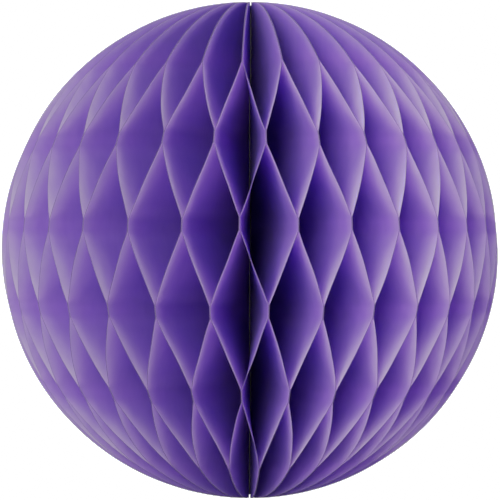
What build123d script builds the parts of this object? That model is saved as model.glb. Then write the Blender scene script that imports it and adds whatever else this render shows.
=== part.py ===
from build123d import *
import os
from math import cos, pi, radians, sin, tan

# A ball of 56 half-round paper leaves that fan out from a thread on the upright axis.
# The leaves hang between two card covers, which meet back to back at +Y when the ball is open.
# Millimetres. The origin is the ball's centre, +Z runs up the axis, -Y is the front.

# --- driving dimensions -------------------------------------------------------------
ball_radius = 50.0
leaf_count = 56
leaf_thickness = 0.12
glue_gap = 0.07              # space that the adhesive takes between two glued leaves
leaf_inner = 2.1             # from the axis to a leaf's straight edge

glue_row_count = 6
glue_row_pitch = 15.9
glue_row_shift = -3.2        # the rows' middle, against the ball's centre
glue_row_width = 3.2

cover_thickness = 0.3
cover_radius = ball_radius - 0.5
cover_inner = 6.5            # from the axis to a cover's straight edge
cover_corner = 3.0

tape_thickness = 0.08
tape_slack = 0.02            # from the tape to the cover that it is pressed against
tape_width = 6.0
tape_length = 22.0
tape_pitch = 28.0            # from one strip's middle to the next, up the cover
tape_strip_count = 3
tape_inset = 26.0            # from the axis to the strips' middle

thread_radius = 0.6
knot_radius = 1.3
knot_depth = ball_radius - knot_radius  # a knot's centre, from the ball's centre

# The cells stand widest beside the covers, are narrowest at the sides and a little wider in front.
spread_once = 9.5            # degrees
spread_twice = 3.5           # degrees

# --- values worked out from them ----------------------------------------------------
tape_space = tape_thickness + tape_slack
cover_face = tape_space / 2 + cover_thickness      # from the joint between the covers to the leaves
glue_rows = [
    glue_row_shift + glue_row_pitch * ((glue_row_count - 1) / 2 - row)
    for row in range(glue_row_count)
]


def glue_line_angle(line):
    """The angle in degrees, round from the covers, of the glue lines between leaf `line` and the next."""
    turn = line / leaf_count
    return 360 * turn + spread_once * sin(2 * pi * turn) + spread_twice * sin(4 * pi * turn)


def directions(angle):
    """The level directions out from the axis and round it, `angle` degrees round from the back."""
    turned = radians(90 + angle)
    outward = Vector(cos(turned), sin(turned), 0)
    around = Vector(-sin(turned), cos(turned), 0)
    return outward, around


def cover_plane(offset):
    """The upright plane `offset` to one side of where the covers meet: its X runs back, its Y up."""
    outward, around = directions(0)
    return Plane(origin=around * offset, x_dir=outward, z_dir=-around)


def fold_line(number, reach):
    """The folds of leaf `number` as (sideways, up) points, top to bottom, for a fold depth of `reach`."""
    side = -1 if number % 2 else 1
    points = [(side * reach, ball_radius)]
    for row in glue_rows:
        points.append((side * reach, row + glue_row_width / 2))
        points.append((side * reach, row - glue_row_width / 2))
        side = -side
    points.append((-side * reach, -ball_radius))
    return points


def leaf_section(number, distance, half_cell):
    """One closed section of a leaf, `distance` out from the axis."""
    reach = distance * tan(radians(half_cell)) - (leaf_thickness + glue_gap) / 2
    middle = fold_line(number, reach)
    near = [(side - leaf_thickness / 2, up) for side, up in middle]
    far = [(side + leaf_thickness / 2, up) for side, up in reversed(middle)]
    return Polyline(*near, *far, close=True)


def make_leaf(number):
    """A folded sheet: ruled from its straight edge out to the ball's surface."""
    first, last = glue_line_angle(number - 1), glue_line_angle(number)
    half_cell = (last - first) / 2
    place = (first + last) / 2
    outward, around = directions(place)
    offset = cover_face * (1 - place / 180)
    with BuildPart() as leaf:
        for distance in (leaf_inner, ball_radius):
            section = Plane(
                origin=outward * distance + around * offset, x_dir=around, z_dir=outward
            )
            with BuildSketch(section):
                with BuildLine():
                    leaf_section(number, distance, half_cell)
                make_face()
        loft(ruled=True)
        with Locations(Plane(origin=(0, 0, 0), x_dir=-outward, z_dir=around)):
            Sphere(ball_radius, mode=Mode.INTERSECT)
    leaf.part.label = f"leaf_{number:02d}"
    return leaf.part


def make_cover(label, side):
    """A half-round card with rounded corners, on one side of the plane where the covers meet."""
    with BuildPart() as cover:
        with BuildSketch(cover_plane(side * tape_space / 2)):
            Circle(cover_radius)
            with Locations((cover_inner, 0)):
                Rectangle(2 * cover_radius, 2 * cover_radius, align=(Align.MIN, Align.CENTER),
                          mode=Mode.INTERSECT)
            fillet(vertices(), cover_corner)
        extrude(amount=-side * cover_thickness)
    cover.part.label = label
    return cover.part


os.makedirs("parts", exist_ok=True)

# --- the leaves ---------------------------------------------------------------------
for leaf_number in range(1, leaf_count + 1):
    leaf_part = make_leaf(leaf_number)
    export_step(leaf_part, f"parts/{leaf_part.label}.step")

# --- the two covers -----------------------------------------------------------------
for cover_label, cover_side in (("cover_a", 1), ("cover_b", -1)):
    cover_part = make_cover(cover_label, cover_side)
    export_step(cover_part, f"parts/{cover_label}.step")

# --- double-sided tape on cover_a ---------------------------------------------------
with BuildPart() as adhesive_strips:
    with BuildSketch(cover_plane(tape_space / 2)):
        with Locations((tape_inset, 0)):
            with GridLocations(0, tape_pitch, 1, tape_strip_count):
                Rectangle(tape_width, tape_length)
    extrude(amount=tape_thickness)
adhesive_strips.part.label = "adhesive_strips"
export_step(adhesive_strips.part, "parts/adhesive_strips.step")

# --- the thread up the axis, with a knot at each end --------------------------------
with BuildPart() as spine_thread:
    Cylinder(thread_radius, 2 * knot_depth)
    with Locations((0, 0, knot_depth), (0, 0, -knot_depth)):
        Sphere(knot_radius)
spine_thread.part.label = "spine_thread"
export_step(spine_thread.part, "parts/spine_thread.step")
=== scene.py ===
import random
from math import asin, cos, pi, radians, sin, sqrt, tan

import bmesh
import bpy
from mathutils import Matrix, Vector


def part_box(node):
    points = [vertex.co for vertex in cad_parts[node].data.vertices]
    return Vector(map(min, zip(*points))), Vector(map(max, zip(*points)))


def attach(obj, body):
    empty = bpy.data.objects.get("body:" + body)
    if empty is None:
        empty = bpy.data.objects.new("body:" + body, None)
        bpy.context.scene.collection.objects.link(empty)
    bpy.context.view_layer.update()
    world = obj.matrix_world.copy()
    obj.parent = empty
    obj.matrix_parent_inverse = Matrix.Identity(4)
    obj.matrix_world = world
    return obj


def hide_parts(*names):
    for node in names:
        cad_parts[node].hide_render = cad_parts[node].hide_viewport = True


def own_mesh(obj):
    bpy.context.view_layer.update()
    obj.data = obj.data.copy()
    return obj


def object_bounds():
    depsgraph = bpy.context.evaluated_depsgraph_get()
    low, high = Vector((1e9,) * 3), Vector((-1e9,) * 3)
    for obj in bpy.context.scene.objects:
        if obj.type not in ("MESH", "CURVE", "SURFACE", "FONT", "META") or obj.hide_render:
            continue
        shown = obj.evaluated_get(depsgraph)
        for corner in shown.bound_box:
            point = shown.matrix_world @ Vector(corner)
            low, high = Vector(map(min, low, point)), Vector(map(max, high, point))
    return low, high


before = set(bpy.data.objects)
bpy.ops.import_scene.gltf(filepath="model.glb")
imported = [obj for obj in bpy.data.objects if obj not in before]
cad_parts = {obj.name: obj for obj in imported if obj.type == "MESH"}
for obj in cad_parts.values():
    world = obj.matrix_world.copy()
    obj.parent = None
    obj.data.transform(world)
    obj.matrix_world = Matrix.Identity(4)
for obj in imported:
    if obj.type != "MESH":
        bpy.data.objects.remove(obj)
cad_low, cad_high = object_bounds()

# A paper honeycomb ball: 56 half-round leaves glued in alternate rows, two card covers joined at the
# back, tape between them and a thread up the axis. Lengths are in millimetres until a mesh is made.
MM = 0.001

# --- the design's driving dimensions, as the frame has them --------------------------
ball_radius = (cad_high.z - cad_low.z) / 2 / MM
leaf_names = sorted(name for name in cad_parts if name.startswith("leaf_"))
leaf_count = len(leaf_names)
leaf_inner = 2.1
cover_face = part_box("cover_a")[0].x / -MM        # from the covers' joint to the leaves
spread_once, spread_twice = 9.5, 3.5             # degrees

glue_row_count = 6
glue_row_pitch = 15.9
glue_row_shift = -3.2
glue_row_width = 2.4

cover_radius = ball_radius - 0.5
cover_inner = 6.5
cover_corner = 3.0
cover_rim_softness = 0.1

thread_length = 2 * (ball_radius - 1.3)          # from one knot's middle to the other's
ply_radius = 0.28
ply_offset = 0.30                                # from the thread's axis to a ply's
ply_lay = 4.2                                    # height of one full twist
knot_size = 0.26
knot_strand = 0.46
knot_height = 1.6                                # against knot_size

# --- how the paper is drawn -----------------------------------------------------------
paper_thickness = 0.10
glue_clearance = 0.02        # from a leaf's face to the glue line's middle
steps_per_row = 3            # levels across a glue row
steps_per_wall = 11          # levels from one glue row to the next
steps_per_cap = 14           # levels from the outermost glue rows to a pole
steps_out = 22               # columns from the straight edge to the cut edge
crowding_out = 0.6           # how much closer the columns lie towards the cut edge
pole_share = 0.9997          # keeps the end levels just short of the poles
row_jitter = 0.28            # how far a glue line strays up or down
turn_jitter = 0.22           # how far a glue line strays round the ball, in degrees
stray_reach = 6.0            # how far beyond the outermost glue rows their rise dies out
wall_bow = 0.14              # how far a wall bows out of true
bow_high, bow_wide = 0.23, 0.11              # its long wave, up the wall and out, in radians a mm
ripple_high, ripple_wide = 0.51, 0.19        # a shorter wave on top of that
ripple_share = 0.5                           # how deep the shorter wave is against the long one
# Painted light on the leaves: paler near the cut edge and where two leaves run together, standing in for
# light through the thin paper and from above.
rim_painted_light = 0.30           # how much painted light makes a face paler at the cut edge, from 0 to 1
rim_light_depth = 3.5             # how far in from the cut edge that goes
rim_falloff = 1.5
corner_painted_light = 0.92        # how much painted light makes a leaf paler where two run together
corner_light_leaning_down = 0.40     # the share of that on faces that lean down
corner_depth = 7.0           # how far in from the cut edge that goes
corner_falloff = 1.2

glue_rows = [
    glue_row_shift + glue_row_pitch * ((glue_row_count - 1) / 2 - row)
    for row in range(glue_row_count)
]
chance = random.Random(56)


def strays_of_lines(most):
    """How far each glue line strays at each row, at most `most` either way."""
    return [[chance.uniform(-most, most) for _ in glue_rows] for _ in range(leaf_count + 1)]


line_rise = strays_of_lines(row_jitter)
line_turn = strays_of_lines(turn_jitter)


def glue_line_angle(line):
    """The angle in degrees, round from the back, of the glue lines between leaf `line` and the next."""
    turn = line / leaf_count
    return 360 * turn + spread_once * sin(2 * pi * turn) + spread_twice * sin(4 * pi * turn)


def directions(angle):
    """The level directions out from the axis and round it, `angle` degrees round from the back."""
    turned = radians(90 + angle)
    return Vector((cos(turned), sin(turned), 0)), Vector((-sin(turned), cos(turned), 0))


def between(low, high, share):
    return low + (high - low) * share


def level_heights():
    """Heights from the top pole to the bottom one, closer together at the glue rows and the poles."""
    edge = glue_row_width / 2
    top, bottom = glue_rows[0] + edge, glue_rows[-1] - edge
    pole = asin(sqrt(1 - (leaf_inner / ball_radius) ** 2) * pole_share)
    heights = [
        ball_radius * sin(between(pole, asin(top / ball_radius), step / steps_per_cap))
        for step in range(steps_per_cap)
    ]
    for row, middle in enumerate(glue_rows):
        heights += [
            middle + edge - glue_row_width * step / steps_per_row
            for step in range(steps_per_row)
        ]
        if row + 1 < glue_row_count:
            wall = glue_row_pitch - glue_row_width
            heights += [
                middle - edge - wall * step / steps_per_wall
                for step in range(steps_per_wall)
            ]
    heights += [
        ball_radius * sin(between(asin(bottom / ball_radius), -pole, step / steps_per_cap))
        for step in range(steps_per_cap + 1)
    ]
    return heights


def row_place(height):
    """The glue rows above and below a height, with how far down it lies from one to the other."""
    for row in range(glue_row_count - 1):
        if height > glue_rows[row + 1]:
            share = (glue_rows[row] - height) / glue_row_pitch
            return row, row + 1, min(max(share, 0), 1)
    return glue_row_count - 1, glue_row_count - 1, 0


def fold_side(number, row):
    """Which neighbour leaf `number` is glued to at a row: 1 is the next leaf, -1 the one before."""
    return -1 if (number + row) % 2 else 1


def fold_share(number, height):
    """How far across its cell a leaf stands at a height, from -1 to 1."""
    upper, lower, share = row_place(height)
    flat = glue_row_width / 2 / glue_row_pitch
    down = min(max((share - flat) / (1 - 2 * flat), 0), 1) if upper != lower else 0
    return between(fold_side(number, upper), fold_side(number, lower), down)


def strays(number, height):
    """How far the glue lines pull a leaf up, and round in degrees, at a height."""
    upper, lower, share = row_place(height)
    lines = [number if fold_side(number, row) > 0 else number - 1 for row in (upper, lower)]
    rise = between(line_rise[lines[0]][upper], line_rise[lines[1]][lower], share)
    turn = between(line_turn[lines[0]][upper], line_turn[lines[1]][lower], share)
    beyond = max(height - glue_rows[0], glue_rows[-1] - height, 0)
    return rise * max(1 - beyond / stray_reach, 0), turn


def edge_painted_light(depth, fold, lean):
    """How much painted light one face of a leaf carries, from its depth below the cut edge.

    This paleness stands in for light that comes through the thin paper and falls from above. It is most
    where the face runs up to the leaf that it faces (fold 1), and more where it leans up to the light (lean
    1) than where it leans down (lean -1).
    """
    closeness = (1 + fold) / 2
    corner = closeness * between(corner_light_leaning_down, 1, min(max(lean, 0), 1))
    rim = max(1 - depth / rim_light_depth, 0) ** rim_falloff
    tip = max(1 - depth / corner_depth, 0) ** corner_falloff
    return rim_painted_light * rim + corner_painted_light * corner * tip


def leaf_mesh(number, heights):
    """A folded half-round sheet with real thickness.

    With its points come how much painted light each carries and how far from a glue row, then the leaf's
    level directions out and round, and how far round it stands off the axis.
    """
    first, last = glue_line_angle(number - 1), glue_line_angle(number)
    half_cell = tan(radians((last - first) / 2))
    place = (first + last) / 2
    outward, around = directions(place)
    offset = cover_face * (1 - place / 180)
    phases = [chance.uniform(0, 2 * pi) for _ in range(4)]
    near, far, near_painted_light, far_painted_light, from_row = [], [], [], [], []
    # a straight wall goes from one side of its cell to the other, 2 shares, from row to row
    lean_span = 1.0                      # how far up and down the wall's lean is read
    full_lean = 2 * 2 * lean_span / (glue_row_pitch - glue_row_width)
    for height in heights:
        rise, turn = strays(number, height)
        level = height + rise
        fold = fold_share(number, height)
        change = fold_share(number, height - lean_span) - fold_share(number, height + lean_span)
        lean = change / full_lean
        loose = 1 - fold * fold          # 0 where the leaf is glued, 1 midway between rows
        row_gap = min(abs(height - row) for row in glue_rows)
        rim = sqrt(max(ball_radius ** 2 - level ** 2, leaf_inner ** 2))
        for step in range(steps_out + 1):
            share = step / steps_out
            share = between(share, 1 - (1 - share) ** 2, crowding_out)
            distance = between(leaf_inner, rim, share)
            reach = distance * half_cell - paper_thickness / 2 - glue_clearance
            bow = wall_bow * share * loose * (
                sin(level * bow_high + phases[0]) * sin(distance * bow_wide + phases[1])
                + ripple_share
                * sin(level * ripple_high + phases[2])
                * sin(distance * ripple_wide + phases[3])
            )
            aside = offset + reach * fold + distance * radians(turn) + bow
            inside_ball = sqrt(max(ball_radius ** 2 - level ** 2 - aside ** 2, 1))
            distance = min(distance, inside_ball)
            point = outward * distance + Vector((0, 0, level))
            near.append((point + around * (aside - paper_thickness / 2)) * MM)
            far.append((point + around * (aside + paper_thickness / 2)) * MM)
            depth = rim - between(leaf_inner, rim, share)
            near_painted_light.append(edge_painted_light(depth, -fold, -lean))
            far_painted_light.append(edge_painted_light(depth, fold, lean))
            from_row.append(row_gap)
    return near + far, near_painted_light + far_painted_light, from_row * 2, outward, around, offset


def sheet_faces(levels):
    """The faces of a closed sheet of two layers, and which of them are its round cut edge."""
    wide = steps_out + 1
    layer = levels * wide
    faces, cut = [], []
    for level in range(levels - 1):
        for step in range(steps_out):
            a = level * wide + step
            b, c, d = a + 1, a + wide + 1, a + wide
            faces.append((a, b, c, d))
            faces.append((layer + a, layer + d, layer + c, layer + b))
        a, d = level * wide + steps_out, (level + 1) * wide + steps_out
        cut.append(len(faces))
        faces.append((a, layer + a, layer + d, d))
        a, d = level * wide, (level + 1) * wide
        faces.append((a, d, layer + d, layer + a))
    for step in range(steps_out):
        a, b = step, step + 1
        faces.append((a, layer + a, layer + b, b))
        a, b = (levels - 1) * wide + step, (levels - 1) * wide + step + 1
        faces.append((a, b, layer + b, layer + a))
    return faces, cut


def new_piece(name, points, faces, materials):
    mesh = bpy.data.meshes.new(name)
    mesh.from_pydata(points, [], faces)
    return finish_piece(mesh, name, materials)


def finish_piece(mesh, name, materials, crease=50):
    """Gives a mesh its materials and smooth shading, creased where it turns by over `crease` degrees."""
    for material in materials:
        mesh.materials.append(material)
    mesh.shade_smooth()
    mesh.set_sharp_from_angle(angle=radians(crease))
    piece = bpy.data.objects.new(name, mesh)
    bpy.context.collection.objects.link(piece)
    return piece


def add_measure(mesh, name, values):
    """Gives each point of a mesh a number that its material reads."""
    layer = mesh.attributes.new(name, "FLOAT", "POINT")
    layer.data.foreach_set("value", values)


# --- materials ------------------------------------------------------------------------
DYE = (0.300, 0.165, 0.62, 1)
DYE_DEEP = (0.228, 0.120, 0.54, 1)
# pale paper: painted light on the leaves, real scuffs on the cover card
PALE_WEAR_AND_LIGHT = (0.67, 0.55, 0.79, 1)
GLOW = (0.51, 0.31, 0.86, 1)         # light that has come through the paper
# translucent colour where the leaves carry painted light
PAINTED_LIGHT_GLOW = (0.70, 0.58, 0.86, 1)
ROW_GLOW = (0.76, 0.53, 0.98, 1)     # lighter, so that the doubled sheet at a glue row isn't a dark band
see_through = 0.64                   # how much of the paper's light comes through it


class Nodes:
    """A material's node tree, with short calls to add and join nodes."""

    def __init__(self, name):
        self.material = bpy.data.materials.new(name)
        self.material.use_nodes = True
        self.tree = self.material.node_tree
        self.tree.nodes.clear()

    def add(self, kind, inputs=None, **settings):
        node = self.tree.nodes.new("ShaderNode" + kind)
        for key, value in settings.items():
            setattr(node, key, value)
        for key, value in (inputs or {}).items():
            if isinstance(value, bpy.types.NodeSocket):
                self.tree.links.new(value, node.inputs[key])
            else:
                node.inputs[key].default_value = value
        return node

    def noise(self, scale, detail=3.0, stretch=(1, 1, 1)):
        """Noise over the object; `scale` is in spots per millimetre."""
        place = self.add("TexCoord").outputs["Object"]
        sized = self.add("Mapping", {"Vector": place, "Scale": [side / MM for side in stretch]})
        made = self.add("TexNoise", {"Vector": sized.outputs[0], "Scale": scale, "Detail": detail})
        return made.outputs["Fac"]

    def spread(self, value, low, high, out_low=0.0, out_high=1.0):
        """A number moved from one range to another."""
        return self.add(
            "MapRange",
            {
                "Value": value,
                "From Min": low,
                "From Max": high,
                "To Min": out_low,
                "To Max": out_high,
            },
        ).outputs[0]

    def mix(self, share, low, high):
        """A colour `share` of the way from one to another; sockets 6 and 7 are the mix's colours."""
        mixed = self.add("Mix", {0: share, 6: low, 7: high}, data_type="RGBA")
        return mixed.outputs[2]

    def math(self, operation, first, second=0.0):
        return self.add("Math", {0: first, 1: second}, operation=operation).outputs[0]

    def finish(self, shader):
        self.add("OutputMaterial", {"Surface": shader})
        return self.material


def paper_material():
    """Thin dyed paper with mottled pulp and painted light: paler near its cut edge and corners, and along
    the glue rows to hide the doubled sheet's shade.
    """
    nodes = Nodes("purple_paper")
    pulp = nodes.noise(0.9, 4.0, (1, 1, 0.35))
    cloud = nodes.noise(0.07, 2.0)
    fibre = nodes.noise(6.0, 3.0, (1, 1, 0.5))
    blotch = nodes.noise(0.35, 3.0, (1, 1, 0.5))
    colour = nodes.mix(nodes.spread(pulp, 0.3, 0.7), DYE_DEEP, DYE)
    colour = nodes.mix(nodes.spread(cloud, 0.35, 0.65, 0, 0.35), colour, DYE_DEEP)
    # painted light, from the mesh: paler near the cut edge and the corners
    painted_light = nodes.add("Attribute", attribute_name="painted_light").outputs["Fac"]
    painted_light = nodes.math("MULTIPLY", painted_light, nodes.spread(blotch, 0.3, 0.7, 0.8, 1.2))
    # painted light: paler along the glue rows, to make up for the shade of the doubled sheet there
    row = nodes.add("Attribute", attribute_name="from_row").outputs["Fac"]
    near_row = nodes.spread(row, 0.10, 0.40, 0.55, 0.0)
    row_painted_light = nodes.math("MULTIPLY", near_row, nodes.spread(pulp, 0.3, 0.6))
    painted_light = nodes.math("ADD", painted_light, row_painted_light)
    colour = nodes.mix(painted_light, colour, PALE_WEAR_AND_LIGHT)
    bump = nodes.add("Bump", {"Height": fibre, "Strength": 0.4, "Distance": 0.00006})
    front = nodes.add(
        "BsdfPrincipled",
        {
            "Base Color": colour,
            "Roughness": nodes.spread(fibre, 0.3, 0.7, 0.78, 0.9),
            "Specular IOR Level": 0.12,
            "Sheen Weight": 0.04,
            "Sheen Roughness": 0.6,
            "Normal": bump.outputs[0],
        },
    )
    glow = nodes.mix(painted_light, GLOW, PAINTED_LIGHT_GLOW)
    # painted light: the translucent colour is lighter near the glue rows too
    glow = nodes.mix(nodes.spread(row, 0.0, 4.0, 0.7, 0.0), glow, ROW_GLOW)
    through = nodes.add("BsdfTranslucent", {"Color": glow, "Normal": bump.outputs[0]})
    both = nodes.add("MixShader", {0: see_through, 1: front.outputs[0], 2: through.outputs[0]})
    return nodes.finish(both.outputs[0])


def cut_edge_material():
    """The fibrous edge of die-cut paper, with painted shade: it is drawn far darker than the paper's dye,
    to tone down the light it catches facing out.
    """
    nodes = Nodes("paper_cut_edge")
    fibre = nodes.noise(5.0, 4.0, (1, 1, 0.6))
    strand = nodes.spread(fibre, 0.3, 0.7)
    # painted shade: far darker than the paper's own dye
    colour = nodes.mix(strand, (0.035, 0.019, 0.08, 1), (0.05, 0.03, 0.11, 1))
    rough = nodes.spread(fibre, 0.3, 0.7, 0.85, 0.95)
    shader = nodes.add("BsdfPrincipled", {"Base Color": colour, "Roughness": rough})
    return nodes.finish(shader.outputs[0])


def card_material():
    """The purple facing of the cover card, with a fine tooth and scuffs."""
    nodes = Nodes("cover_face")
    tooth = nodes.noise(4.0, 4.0)
    fibre = nodes.noise(0.8, 5.0, (0.3, 1, 1))
    scuff = nodes.noise(0.12, 6.0, (1, 1, 0.4))
    strand = nodes.spread(fibre, 0.3, 0.7)
    colour = nodes.mix(strand, (0.19, 0.09, 0.40, 1), (0.24, 0.12, 0.47, 1))
    colour = nodes.mix(nodes.spread(scuff, 0.58, 0.75, 0.0, 0.25), colour, PALE_WEAR_AND_LIGHT)
    bump = nodes.add("Bump", {"Height": tooth, "Strength": 0.3, "Distance": 0.00006})
    shader = nodes.add(
        "BsdfPrincipled",
        {
            "Base Color": colour,
            "Roughness": nodes.spread(tooth, 0.3, 0.7, 0.6, 0.75),
            "Specular IOR Level": 0.35,
            "Normal": bump.outputs[0],
        },
    )
    return nodes.finish(shader.outputs[0])


def card_core_material():
    """The cut edge of the card: plies of grey board between the purple facings."""
    nodes = Nodes("cover_core")
    fibre = nodes.noise(3.0, 4.0)
    plies = nodes.noise(9.0, 2.0, (1, 0.05, 0.05))
    ply = nodes.spread(plies, 0.35, 0.65)
    colour = nodes.mix(ply, (0.30, 0.24, 0.34, 1), (0.44, 0.38, 0.44, 1))
    colour = nodes.mix(nodes.spread(fibre, 0.5, 0.75, 0.0, 0.5), colour, (0.26, 0.15, 0.40, 1))
    bump = nodes.add("Bump", {"Height": fibre, "Strength": 0.6, "Distance": 0.00008})
    shader = nodes.add(
        "BsdfPrincipled",
        {
            "Base Color": colour,
            "Roughness": nodes.spread(fibre, 0.3, 0.7, 0.8, 0.95),
            "Normal": bump.outputs[0],
        },
    )
    return nodes.finish(shader.outputs[0])


def tape_material():
    """Double-sided tape: a milky adhesive film with specks and small trapped bubbles."""
    nodes = Nodes("tape_film")
    haze = nodes.noise(0.5, 4.0)
    speck = nodes.noise(2.5, 2.0)
    cloudy = nodes.spread(haze, 0.3, 0.7)
    colour = nodes.mix(cloudy, (0.70, 0.68, 0.62, 1), (0.84, 0.83, 0.79, 1))
    colour = nodes.mix(nodes.spread(speck, 0.64, 0.7, 0.0, 0.5), colour, (0.95, 0.95, 0.93, 1))
    bump = nodes.add("Bump", {"Height": haze, "Strength": 0.4, "Distance": 0.00005})
    shader = nodes.add(
        "BsdfPrincipled",
        {
            "Base Color": colour,
            "Roughness": nodes.spread(haze, 0.3, 0.7, 0.25, 0.45),
            "Specular IOR Level": 0.5,
            "Normal": bump.outputs[0],
        },
    )
    return nodes.finish(shader.outputs[0])


def thread_material():
    """Dark spun cotton, with lighter fibres along each ply."""
    nodes = Nodes("cotton_thread")
    fibre = nodes.noise(5.0, 5.0, (1, 1, 0.25))
    fuzz = nodes.noise(12.0, 2.0)
    strand = nodes.spread(fibre, 0.35, 0.7)
    colour = nodes.mix(strand, (0.016, 0.014, 0.009, 1), (0.042, 0.037, 0.026, 1))
    bump = nodes.add("Bump", {"Height": fuzz, "Strength": 0.7, "Distance": 0.00006})
    shader = nodes.add(
        "BsdfPrincipled",
        {
            "Base Color": colour,
            "Roughness": nodes.spread(fuzz, 0.3, 0.7, 0.8, 0.95),
            "Sheen Weight": 0.2,
            "Normal": bump.outputs[0],
        },
    )
    return nodes.finish(shader.outputs[0])


# Light that the surroundings give the ball, and how bright they are to the camera. They are
# brighter to the camera, so that the ground comes out white and the cells stay deep.
world_light, world_seen = 0.36, 2.1
floor_light, floor_seen = 0.15, 2.0


def floor_material():
    """A plain pale floor, which glows to the camera."""
    nodes = Nodes("studio_floor")
    grain = nodes.noise(0.05, 2.0)
    patch = nodes.spread(grain, 0.3, 0.7)
    colour = nodes.mix(patch, (0.34, 0.34, 0.335, 1), (0.36, 0.36, 0.355, 1))
    seen = nodes.add("LightPath").outputs["Is Camera Ray"]
    shader = nodes.add(
        "BsdfPrincipled",
        {
            "Base Color": colour,
            "Roughness": 0.9,
            "Specular IOR Level": 0.1,
            "Emission Color": (1, 1, 1, 1),
            "Emission Strength": nodes.spread(seen, 0.0, 1.0, floor_light, floor_seen),
        },
    )
    return nodes.finish(shader.outputs[0])


# --- the pieces -----------------------------------------------------------------------
def make_leaves():
    paper, cut_edge = paper_material(), cut_edge_material()
    heights = level_heights()
    faces, cut = sheet_faces(len(heights))
    for number, node in enumerate(leaf_names, 1):
        points, painted_light, from_row, outward, around, offset = leaf_mesh(number, heights)
        piece = new_piece("paper_" + node, points, faces, [paper, cut_edge])
        for face in cut:
            piece.data.polygons[face].material_index = 1
        add_measure(piece.data, "painted_light", painted_light)
        add_measure(piece.data, "from_row", from_row)
        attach(piece, node)
        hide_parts(node)
        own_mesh(piece)


def cover_outline():
    """A cover's outline as distances out from the axis and heights, round from the lower corner."""
    rim_steps, corner_steps = 120, 12
    centre_out = cover_inner + cover_corner
    centre_height = sqrt((cover_radius - cover_corner) ** 2 - centre_out ** 2)
    top = asin(centre_height / (cover_radius - cover_corner))
    outline = []
    for step in range(rim_steps + 1):
        angle = between(-top, top, step / rim_steps)
        outline.append((cover_radius * cos(angle), cover_radius * sin(angle)))
    upper = (centre_height, top, pi, range(1, corner_steps + 1))
    lower = (-centre_height, pi, 2 * pi - top, range(corner_steps))
    for height, start, end, steps in (upper, lower):
        for step in steps:
            angle = between(start, end, step / corner_steps)
            outline.append(
                (centre_out + cover_corner * cos(angle), height + cover_corner * sin(angle))
            )
    return outline


def make_cover(node, face, core):
    """A half-round card with a softened rim, in place of its CAD node."""
    low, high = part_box(node)
    build = bmesh.new()
    ring = [build.verts.new((low.x, out * MM, up * MM)) for out, up in cover_outline()]
    sheet = build.faces.new(ring)
    raised = bmesh.ops.extrude_face_region(build, geom=[sheet], use_keep_orig=True)["geom"]
    corners = [made for made in raised if isinstance(made, bmesh.types.BMVert)]
    bmesh.ops.translate(build, vec=(high.x - low.x, 0, 0), verts=corners)
    bmesh.ops.recalc_face_normals(build, faces=build.faces)
    for side in build.faces:
        is_flat = abs(side.normal.x) > 0.9
        side.material_index = 0 if is_flat else 1
    rims = [
        edge for edge in build.edges
        if {side.material_index for side in edge.link_faces} == {0, 1}
    ]
    bmesh.ops.bevel(
        build,
        geom=rims,
        offset=cover_rim_softness * MM,
        segments=3,
        profile=0.6,
        affect="EDGES",
        material=0,
    )
    mesh = bpy.data.meshes.new("card_" + node)
    build.to_mesh(mesh)
    build.free()
    piece = finish_piece(mesh, "card_" + node, [face, core], crease=35)
    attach(piece, node)
    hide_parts(node)


def tube(path, radius, sides, joined=False):
    """A round tube's points and faces along a path, capped unless its ends are joined."""
    count = len(path)
    points, faces = [], []
    normal = Vector((1, 0.3, 0.1))       # any direction that no path starts along
    for place, here in enumerate(path):
        if joined:
            along = path[(place + 1) % count] - path[place - 1]
        else:
            along = path[min(place + 1, count - 1)] - path[max(place - 1, 0)]
        along.normalize()
        normal = (normal - along * normal.dot(along)).normalized()
        across = along.cross(normal)
        for side in range(sides):
            angle = 2 * pi * side / sides
            round_path = normal * (radius * cos(angle)) + across * (radius * sin(angle))
            points.append((here + round_path) * MM)
    shift = 0                            # which point of the first ring the last ring's first meets
    if joined:
        last = points[-sides] - path[-1] * MM
        first = [point - path[0] * MM for point in points[:sides]]
        shift = max(range(sides), key=lambda side: last.dot(first[side]))
    for span in range(count if joined else count - 1):
        ahead = (span + 1) % count
        turn = shift if ahead == 0 else 0
        for side in range(sides):
            after = (side + 1) % sides
            faces.append(
                (
                    span * sides + side,
                    span * sides + after,
                    ahead * sides + (after + turn) % sides,
                    ahead * sides + (side + turn) % sides,
                )
            )
    if not joined:
        faces.append(tuple(reversed(range(sides))))
        faces.append(tuple(range((count - 1) * sides, count * sides)))
    return points, faces


def make_thread():
    """Three twisted plies up the axis, tied in a knot at each end."""
    half = thread_length / 2
    ply_count, ply_steps, ply_sides = 3, 700, 7
    knot_steps, knot_sides = 96, 10
    points, faces = [], []

    def add(made_points, made_faces):
        start = len(points)
        points.extend(made_points)
        faces.extend(tuple(start + corner for corner in face) for face in made_faces)

    for ply in range(ply_count):
        path = []
        for step in range(ply_steps + 1):
            height = between(-half, half, step / ply_steps)
            angle = 2 * pi * (height / ply_lay + ply / ply_count)
            path.append(Vector((ply_offset * cos(angle), ply_offset * sin(angle), height)))
        add(*tube(path, ply_radius, ply_sides))
    for end in (1, -1):
        loop = []
        for step in range(knot_steps):
            angle = 2 * pi * step / knot_steps
            x = knot_size * (sin(angle) + 2 * sin(2 * angle))
            y = knot_size * (cos(angle) - 2 * cos(2 * angle))
            z = end * half - knot_size * knot_height * sin(3 * angle)
            loop.append(Vector((x, y, z)))
        add(*tube(loop, knot_strand, knot_sides, joined=True))
    piece = new_piece("twisted_thread", points, faces, [thread_material()])
    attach(piece, "cover_a")
    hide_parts("spine_thread")


def make_covers():
    face, core = card_material(), card_core_material()
    make_cover("cover_a", face, core)
    make_cover("cover_b", face, core)


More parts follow.
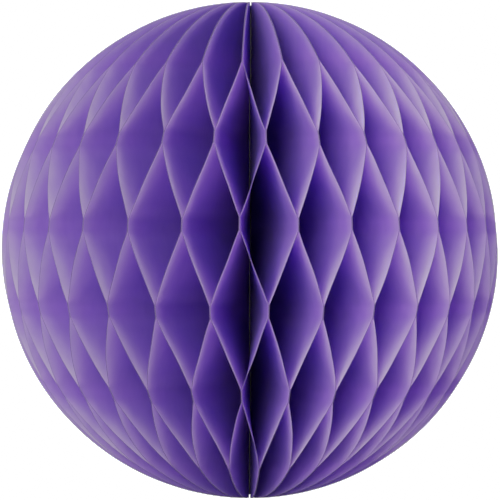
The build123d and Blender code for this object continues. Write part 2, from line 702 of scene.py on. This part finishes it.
def finish_tape():
    """The tape's CAD shape is right, so only its material changes."""
    film = tape_material()
    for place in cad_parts["adhesive_strips"].material_slots:
        place.material = film


def make_floor():
    half_width, drop = 12.0, 0.0002      # metres
    height = cad_low.z - drop
    signs = ((-1, -1), (1, -1), (1, 1), (-1, 1))
    corners = [(x * half_width, y * half_width, height) for x, y in signs]
    floor = new_piece("studio_floor", corners, [(0, 1, 2, 3)], [floor_material()])


# --- light and camera -----------------------------------------------------------------
def make_world():
    world = bpy.data.worlds.new("studio")
    bpy.context.scene.world = world
    world.use_nodes = True
    tree = world.node_tree
    backdrop = tree.nodes["Background"]
    backdrop.inputs["Color"].default_value = (1, 1, 1, 1)
    seen = tree.nodes.new("ShaderNodeLightPath").outputs["Is Camera Ray"]
    strength = tree.nodes.new("ShaderNodeMapRange")
    strength.inputs["To Min"].default_value = world_light
    strength.inputs["To Max"].default_value = world_seen
    tree.links.new(seen, strength.inputs["Value"])
    tree.links.new(strength.outputs[0], backdrop.inputs["Strength"])


def make_softbox(name, azimuth, elevation, distance, size, power):
    """A square soft light that faces the ball; azimuth 0 is the front, 90 is +X.

    The distance and size are in metres and the power in watts.
    """
    turned, raised = radians(azimuth), radians(elevation)
    away = Vector((sin(turned) * cos(raised), -cos(turned) * cos(raised), sin(raised)))
    light = bpy.data.lights.new(name, "AREA")
    light.size = size
    light.energy = power
    lamp = bpy.data.objects.new(name, light)
    lamp.location = away * distance
    lamp.rotation_mode = "QUATERNION"
    lamp.rotation_quaternion = away.to_track_quat("Z", "Y")
    bpy.context.collection.objects.link(lamp)


def make_camera():
    """A long lens level with the ball's middle, a little to the right of its front."""
    azimuth = radians(2.3)
    distance = 9.0                      # in ball radii
    width_share = 0.993                 # the ball's width against the picture's
    away = Vector((sin(azimuth), -cos(azimuth), 0))
    data = bpy.data.cameras.new("camera")
    data.sensor_width = 36.0
    data.lens = data.sensor_width / 2 * sqrt(distance ** 2 - 1) * width_share
    camera = bpy.data.objects.new("camera", data)
    camera.location = away * distance * ball_radius * MM
    camera.rotation_mode = "QUATERNION"
    camera.rotation_quaternion = away.to_track_quat("Z", "Y")
    bpy.context.collection.objects.link(camera)
    bpy.context.scene.camera = camera


film_gain, film_bend = 1.65, 1.9
film_white = 2.0                    # the light that comes out white
film_near_white = 1.45              # a light between the ball's brightest and the backdrop
film_near_white_out = 0.95


def set_film():
    """A film's soft shoulder, so that lit paper goes pale and shaded paper stays rich."""
    settings = bpy.context.scene.view_settings
    settings.view_transform = "Standard"
    settings.use_curve_mapping = True
    settings.curve_mapping.white_level = [film_white] * 3
    settings.curve_mapping.extend = "HORIZONTAL"
    curve = settings.curve_mapping.curves[3]     # the one for all three colours together
    for light in (0.05, 0.1, 0.2, 0.4, 0.7, 1.0):
        curve.points.new(light / film_white, film_gain * light / (1 + film_bend * light))
    curve.points.new(film_near_white / film_white, film_near_white_out)
    settings.curve_mapping.update()


make_leaves()
make_covers()
finish_tape()
make_thread()
make_floor()
make_world()
make_softbox("key", -20, 18, 1.0, 0.7, 17.5)
make_softbox("fill", 76, 8, 1.0, 0.8, 11.0)
make_softbox("left", -80, 5, 1.0, 1.0, 9.0)
make_softbox("right", 110, 5, 1.0, 1.0, 11.0)
make_camera()
set_film()
